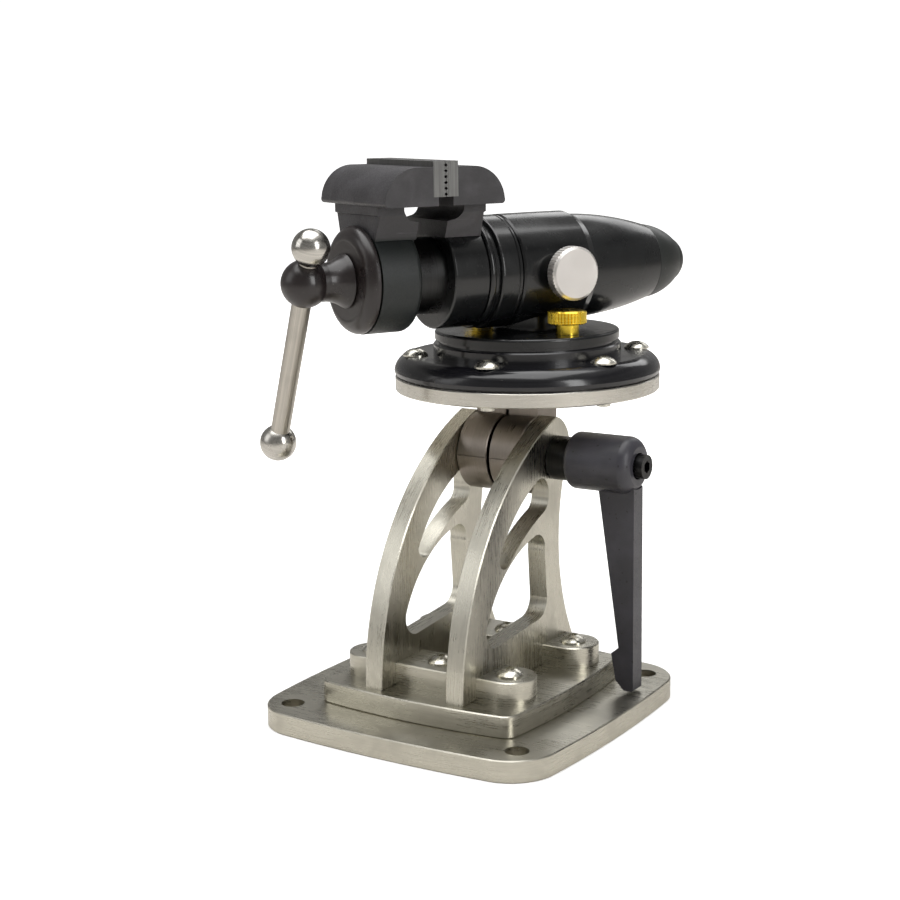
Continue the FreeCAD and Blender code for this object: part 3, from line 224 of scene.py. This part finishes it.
def enamel(name, colour, roughness, coat=0.25, turned_about=None):
    """Black enamel on a casting: a faint orange peel, dust and uneven gloss."""
    paint = Finish(name, colour, roughness, 0.0)
    cloud = paint.noise(paint.place, 38.0, 3.0, 0.55, 0.4)
    specks = paint.noise(paint.place, 1300.0, 1.0)
    clouded = paint.tint(paint.spread(cloud, 0.4, 0.75), colour, darker(colour, 1.6))
    paint.colour(paint.tint(paint.spread(specks, 0.74, 0.78, 0.0, 0.12), clouded, DUST_COLOUR))
    paint.roughness(paint.spread(cloud, 0.3, 0.75, roughness - 0.05, roughness + 0.10))
    paint.bump(paint.noise(paint.place, 420.0, 2.0), 0.00012, 0.10)
    if turned_about is not None:
        rings = paint.noise(paint.around(turned_about, 2600, 30), 1.0, 2.0)
        paint.bump(rings, 0.00004, 0.22)
    paint.set("Coat Weight", coat)
    paint.set("Coat Roughness", 0.12)
    paint.set("Specular IOR Level", 0.5)
    return paint.material


def cast_black(name, colour, roughness):
    """Matte blackened cast iron with a fine tooth and faint scuffs along the barrel."""
    iron = Finish(name, colour, roughness, 0.0)
    tooth = iron.noise(iron.place, 1500.0, 3.0, 0.6)
    cloud = iron.noise(iron.place, 70.0, 4.0, 0.6, 0.5)
    scuffs = iron.noise(iron.along(BARREL, 900, 60), 1.0, 2.0, 0.6)
    worn = iron.tint(iron.spread(cloud, 0.35, 0.75), darker(colour, 0.75), darker(colour, 1.35))
    iron.colour(iron.tint(iron.spread(scuffs, 0.66, 0.78, 0.0, 0.35), worn, darker(colour, 3.0)))
    iron.roughness(iron.spread(tooth, 0.3, 0.7, roughness - 0.08, roughness + 0.1))
    iron.bump(tooth, 0.00006, 0.5)
    iron.bump(cloud, 0.0003, 0.1)
    return iron.material


# Height at which the near side of the jaw's neck leaves the round hub, and the blur each side of it.
JAW_FOOT = BARREL_POINT.z + 0.0152
SPLIT_BLUR = 0.0005


def jaw_over_hub(name, jaw_colour, hub_colour, roughness, split_height):
    """A matte cast jaw whose round hub, below the split height, is darker."""
    iron = cast_black(name, jaw_colour, roughness)
    tree = iron.node_tree
    shader = tree.nodes["Principled BSDF"]
    coordinates = tree.nodes.new("ShaderNodeTexCoord")
    split = tree.nodes.new("ShaderNodeSeparateXYZ")
    tree.links.new(coordinates.outputs["Object"], split.inputs[0])
    level = tree.nodes.new("ShaderNodeMapRange")
    level.inputs["From Min"].default_value = split_height - SPLIT_BLUR
    level.inputs["From Max"].default_value = split_height + SPLIT_BLUR
    tree.links.new(split.outputs["Z"], level.inputs["Value"])
    mix = tree.nodes.new("ShaderNodeMix")
    mix.data_type = "RGBA"
    tree.links.new(level.outputs["Result"], mix.inputs["Factor"])
    low, high = (next(i for i in mix.inputs if i.name == side and i.type == "RGBA") for side in "AB")
    low.default_value = (*hub_colour, 1)
    tree.links.new(shader.inputs["Base Color"].links[0].from_socket, high)
    tree.links.new(next(o for o in mix.outputs if o.type == "RGBA"), shader.inputs["Base Color"])
    return iron


def ground_steel(name, colour, roughness, along, darkness=0.35):
    """Ground or drawn steel with fine straight lines along one direction."""
    steel = Finish(name, colour, roughness)
    lines = steel.noise(steel.along(along, 2400, 25), 1.0, 3.0, 0.6)
    cloud = steel.noise(steel.place, 90.0, 3.0)
    streak = steel.spread(lines, 0.35, 0.66)
    shade = steel.tint(streak, darker(colour, 1 - darkness), colour)
    steel.colour(steel.tint(steel.spread(cloud, 0.45, 0.8, 0.0, 0.3), shade, darker(colour, 0.55)))
    steel.roughness(steel.spread(streak, 0.0, 1.0, roughness - 0.05, roughness + 0.1))
    steel.bump(lines, 0.00004, 0.5)
    return steel.material


def turned_metal(name, colour, roughness, axis, relief=0.3):
    """Turned metal with fine tool marks round an axis."""
    metal = Finish(name, colour, roughness)
    rings = metal.noise(metal.around(axis, 2200, 14), 1.0, 3.0, 0.6)
    cloud = metal.noise(metal.place, 110.0, 3.0, 0.55)
    metal.colour(metal.tint(metal.spread(rings, 0.35, 0.68), darker(colour, 0.78), colour))
    metal.roughness(metal.spread(cloud, 0.3, 0.7, roughness - 0.05, roughness + 0.1))
    metal.bump(rings, 0.00004, relief)
    return metal.material


def powder_coat(name, colour, roughness):
    """Fine-textured dark powder coat with a few black pits."""
    coat = Finish(name, colour, roughness, 0.0)
    grain = coat.noise(coat.place, 1900.0, 2.0, 0.6)
    cloud = coat.noise(coat.place, 55.0, 3.0)
    specks = coat.noise(coat.place, 700.0, 0.0)
    base = coat.tint(coat.spread(cloud, 0.35, 0.7), darker(colour, 0.8), darker(colour, 1.3))
    coat.colour(coat.tint(coat.spread(specks, 0.76, 0.80, 0.0, 0.7), base, (0.01, 0.01, 0.01)))
    coat.roughness(coat.spread(grain, 0.3, 0.7, roughness - 0.07, roughness + 0.1))
    coat.bump(grain, 0.00008, 0.55)
    return coat.material


PLATE = brushed_steel("brushed plate", Z, X)
CHEEK = brushed_steel("brushed cheek", X, Z)
# The hinge blocks are the same brushed stainless, given a darker, browner colour as painted shade for the
# shadow under the tilt disc.
KNUCKLE_PAINTED_SHADE = brushed_steel("brushed knuckle with painted shade", X, Z, (0.26, 0.23, 0.20), 0.33)
DISC = brushed_steel("brushed disc", Z, X, (0.60, 0.58, 0.53), 0.24)
SCREW = screw_steel("screw steel", (0.74, 0.72, 0.64), 0.22)
FLANGE = enamel("flange enamel", (0.006, 0.006, 0.008), 0.20, turned_about=Z)
BODY = enamel("barrel enamel", (0.004, 0.0045, 0.005), 0.24)
CAP = enamel("cap enamel", (0.016, 0.018, 0.017), 0.42, coat=0.0)
COLLAR = enamel("collar enamel", (0.016, 0.012, 0.012), 0.30, coat=0.15, turned_about=BARREL)
MOVING_JAW = jaw_over_hub("jaw over hub", (0.046, 0.044, 0.048), (0.010, 0.013, 0.013), 0.46, JAW_FOOT)
JAW = cast_black("jaw black", (0.046, 0.044, 0.048), 0.46)
JAW_PLATE = ground_steel("jaw plate", (0.22, 0.22, 0.215), 0.40, Z)
RAM = turned_metal("ram steel", (0.05, 0.05, 0.05), 0.3, BARREL)
BALL = turned_metal("ball steel", (0.60, 0.58, 0.54), 0.19, BAR, relief=0.15)
ROD = ground_steel("rod steel", (0.56, 0.53, 0.48), 0.34, BAR, 0.25)
KNOB_FACE = turned_metal("knob aluminium", (0.84, 0.81, 0.78), 0.42, KNOB)
BRASS = turned_metal("brass", (0.95, 0.69, 0.08), 0.22, Z)
BRONZE = turned_metal("bronze", (0.5, 0.35, 0.16), 0.35, BARREL)
LEVER = powder_coat("lever powder coat", (0.040, 0.039, 0.048), 0.36)
OXIDE = turned_metal("black oxide", (0.03, 0.03, 0.03), 0.28, X)

NODE_FINISHES = {
    PLATE: (
        "base_plate", "upper_plate", "lug_front_left", "lug_front_right", "lug_rear_left",
        "lug_rear_right", "cross_block_front", "cross_block_rear",
    ),
    CHEEK: ("cheek_left", "cheek_right", "pivot_washer"),
    KNUCKLE_PAINTED_SHADE: ("hinge_block_left", "hinge_block_right"),
    DISC: ("tilt_disc",),
    SCREW: (
        "base_screws", "clamp_screws", "cheek_dowels", "pivot_bolt", "disc_screws", "flange_screws",
        "swivel_washer", "swivel_screw", "swivel_studs", "ram_key", "fixed_jaw_studs",
        "jaw_plate_screws_fixed", "jaw_plate_screws_moving",
    ),
    FLANGE: ("turret_base",),
    BODY: ("vise_body", "head_hub"),
    CAP: ("end_cap",),
    COLLAR: ("ram_collar", "collar_washer", "lead_screw", "thrust_ring", "lock_shoe", "lock_screw"),
    MOVING_JAW: ("moving_jaw",),
    JAW: ("fixed_jaw",),
    JAW_PLATE: ("jaw_plate_fixed", "jaw_plate_moving"),
    RAM: ("ram_tube",),
    BALL: ("handle_ball_upper", "handle_ball_lower"),
    ROD: ("handle_rod",),
    KNOB_FACE: ("lock_knob",),
    BRASS: ("thumb_nut_near", "thumb_nut_far"),
    BRONZE: ("feed_nut",),
    LEVER: ("lever_handle",),
    OXIDE: ("lever_screw", "lever_spring", "lever_insert"),
}


def paint_nodes():
    """Gives every carried-over node its finish."""
    for finish, names in NODE_FINISHES.items():
        for name in names:
            node = frame["nodes"][name]
            for material_slot in node.material_slots:
                material_slot.material = finish


# ---------------------------------------------------------------------------------------------
# Studio and camera
# ---------------------------------------------------------------------------------------------

CAMERA_PLACE = Vector((0.3350, -0.5283, 0.2221))
CAMERA_TURN = 0.57647
CAMERA_PITCH = 0.19523
CAMERA_ROLL = -0.0149
CAMERA_LENS = 70.33


def add_camera():
    """A camera at the height and angle that the object is usually shown from."""
    forward = Vector((
        -math.sin(CAMERA_TURN) * math.cos(CAMERA_PITCH),
        math.cos(CAMERA_TURN) * math.cos(CAMERA_PITCH),
        -math.sin(CAMERA_PITCH),
    ))
    right = Vector((math.cos(CAMERA_TURN), math.sin(CAMERA_TURN), 0))
    up = right.cross(forward)
    level = Matrix((right, up, -forward)).transposed()
    roll = Matrix.Rotation(CAMERA_ROLL, 3, "Z")
    data = bpy.data.cameras.new("camera")
    data.lens = CAMERA_LENS
    data.sensor_width = 36
    data.clip_start = 0.01
    camera = bpy.data.objects.new("camera", data)
    camera.matrix_world = Matrix.Translation(CAMERA_PLACE) @ (level @ roll).to_4x4()
    bpy.context.scene.collection.objects.link(camera)
    bpy.context.scene.camera = camera


LIGHT_TARGET = Vector((0, 0.02, 0.12))

# Each softbox's name, place, width, height and power in watts.
SOFTBOXES = (
    ("top softbox", (-0.1, 0.0, 1.3), 1.3, 1.3, 16),
    ("left softbox", (-1.0, -0.9, 0.75), 0.8, 0.9, 3),
    ("right softbox", (1.25, -0.35, 0.6), 0.35, 0.9, 6),
    ("rear softbox", (-0.2, 1.3, 0.9), 1.0, 0.5, 3),
)


def add_softbox(name, place, width, height, power):
    """A white rectangular area light that looks at the object."""
    data = bpy.data.lights.new(name, "AREA")
    data.shape = "RECTANGLE"
    data.size = width
    data.size_y = height
    data.energy = power
    light = bpy.data.objects.new(name, data)
    light.location = place
    light.rotation_mode = "QUATERNION"
    light.rotation_quaternion = (LIGHT_TARGET - Vector(place)).to_track_quat("-Z", "Y")
    bpy.context.scene.collection.objects.link(light)


BENCH_COLOUR = (0.86, 0.83, 0.79, 1)
FLOOR_HALF = 6.0

# The floor's painted glow, seen only by the camera, rises from the dim level near the object to the full
# one far out, between these distances.
GLOW_DISTANCES = (0.08, 0.6)
GLOW_LEVELS = (0.45, 1.0)


def add_floor():
    """A white floor that carries on far behind the object, brightened by a painted glow that is dim near
    the object and full far out. In reflections it is a warm pale bench.
    """
    mesh = bpy.data.meshes.new("floor")
    corners = [(FLOOR_HALF * x, FLOOR_HALF * y, 0) for x, y in ((-1, -1), (1, -1), (1, 1), (-1, 1))]
    mesh.from_pydata(corners, [], [(0, 1, 2, 3)])
    floor = bpy.data.objects.new("floor", mesh)
    finish = Finish("floor paint with painted glow", (0.80, 0.80, 0.80), 0.7, 0.0)
    finish.set("Specular IOR Level", 0.1)
    finish.set("Emission Color", (1, 1, 1, 1))
    distance = finish.tree.nodes.new("ShaderNodeVectorMath")
    distance.operation = "LENGTH"
    finish.feed(distance.inputs[0], finish.place)
    # Painted glow: the floor emits light for the camera, dimmer near the object where its shade falls and
    # full far out.
    glow = finish.spread(distance.outputs["Value"], *GLOW_DISTANCES, *GLOW_LEVELS)
    finish.feed(finish.shader.inputs["Emission Strength"], glow)
    bench = finish.tree.nodes.new("ShaderNodeBsdfDiffuse")
    bench.inputs["Color"].default_value = BENCH_COLOUR
    path = finish.tree.nodes.new("ShaderNodeLightPath")
    mix = finish.tree.nodes.new("ShaderNodeMixShader")
    finish.feed(mix.inputs[0], path.outputs["Is Camera Ray"])
    finish.feed(mix.inputs[1], bench.outputs[0])
    finish.feed(mix.inputs[2], finish.shader.outputs[0])
    finish.feed(finish.tree.nodes["Material Output"].inputs["Surface"], mix.outputs[0])
    mesh.materials.append(finish.material)
    bpy.context.scene.collection.objects.link(floor)


# The room in reflections: heights from 0 straight down to 1 straight up, each with its brightness.
ROOM_LEVELS = (
    (0.0, 0.5),
    (0.5, 0.30),
    (0.62, 0.22),
    (0.735, 0.26),
    (0.81, 0.11),
    (0.88, 0.36),
    (0.94, 0.46),
    (1.0, 0.16),
)
ROOM_TINT = (1, 0.985, 0.955)


def add_world():
    """A white room as the camera sees it, and one of grey bands in reflections."""
    world = bpy.data.worlds.new("room")
    bpy.context.scene.world = world
    world.use_nodes = True
    tree = world.node_tree
    nodes = tree.nodes
    sky = nodes["Background"]
    backdrop = nodes.new("ShaderNodeBackground")
    backdrop.inputs["Color"].default_value = (1, 1, 1, 1)
    backdrop.inputs["Strength"].default_value = 1.05
    direction = nodes.new("ShaderNodeTexCoord")
    split = nodes.new("ShaderNodeSeparateXYZ")
    tree.links.new(direction.outputs["Generated"], split.inputs[0])
    ramp = nodes.new("ShaderNodeValToRGB")
    while len(ramp.color_ramp.elements) < len(ROOM_LEVELS):
        ramp.color_ramp.elements.new(0.5)
    for element, (position, level) in zip(ramp.color_ramp.elements, ROOM_LEVELS):
        element.position = position
        element.color = (*darker(ROOM_TINT, level), 1)
    height = nodes.new("ShaderNodeMapRange")
    height.inputs["From Min"].default_value = -1
    height.inputs["From Max"].default_value = 1
    tree.links.new(split.outputs["Z"], height.inputs["Value"])
    tree.links.new(height.outputs["Result"], ramp.inputs["Fac"])
    tree.links.new(ramp.outputs["Color"], sky.inputs["Color"])
    sky.inputs["Strength"].default_value = 1.0
    path = nodes.new("ShaderNodeLightPath")
    mix = nodes.new("ShaderNodeMixShader")
    tree.links.new(path.outputs["Is Camera Ray"], mix.inputs[0])
    tree.links.new(sky.outputs[0], mix.inputs[1])
    tree.links.new(backdrop.outputs[0], mix.inputs[2])
    tree.links.new(mix.outputs[0], nodes["World Output"].inputs["Surface"])


paint_nodes()
add_floor()
add_world()
for softbox in SOFTBOXES:
    add_softbox(*softbox)
add_camera()
bpy.context.scene.view_settings.view_transform = "Standard"
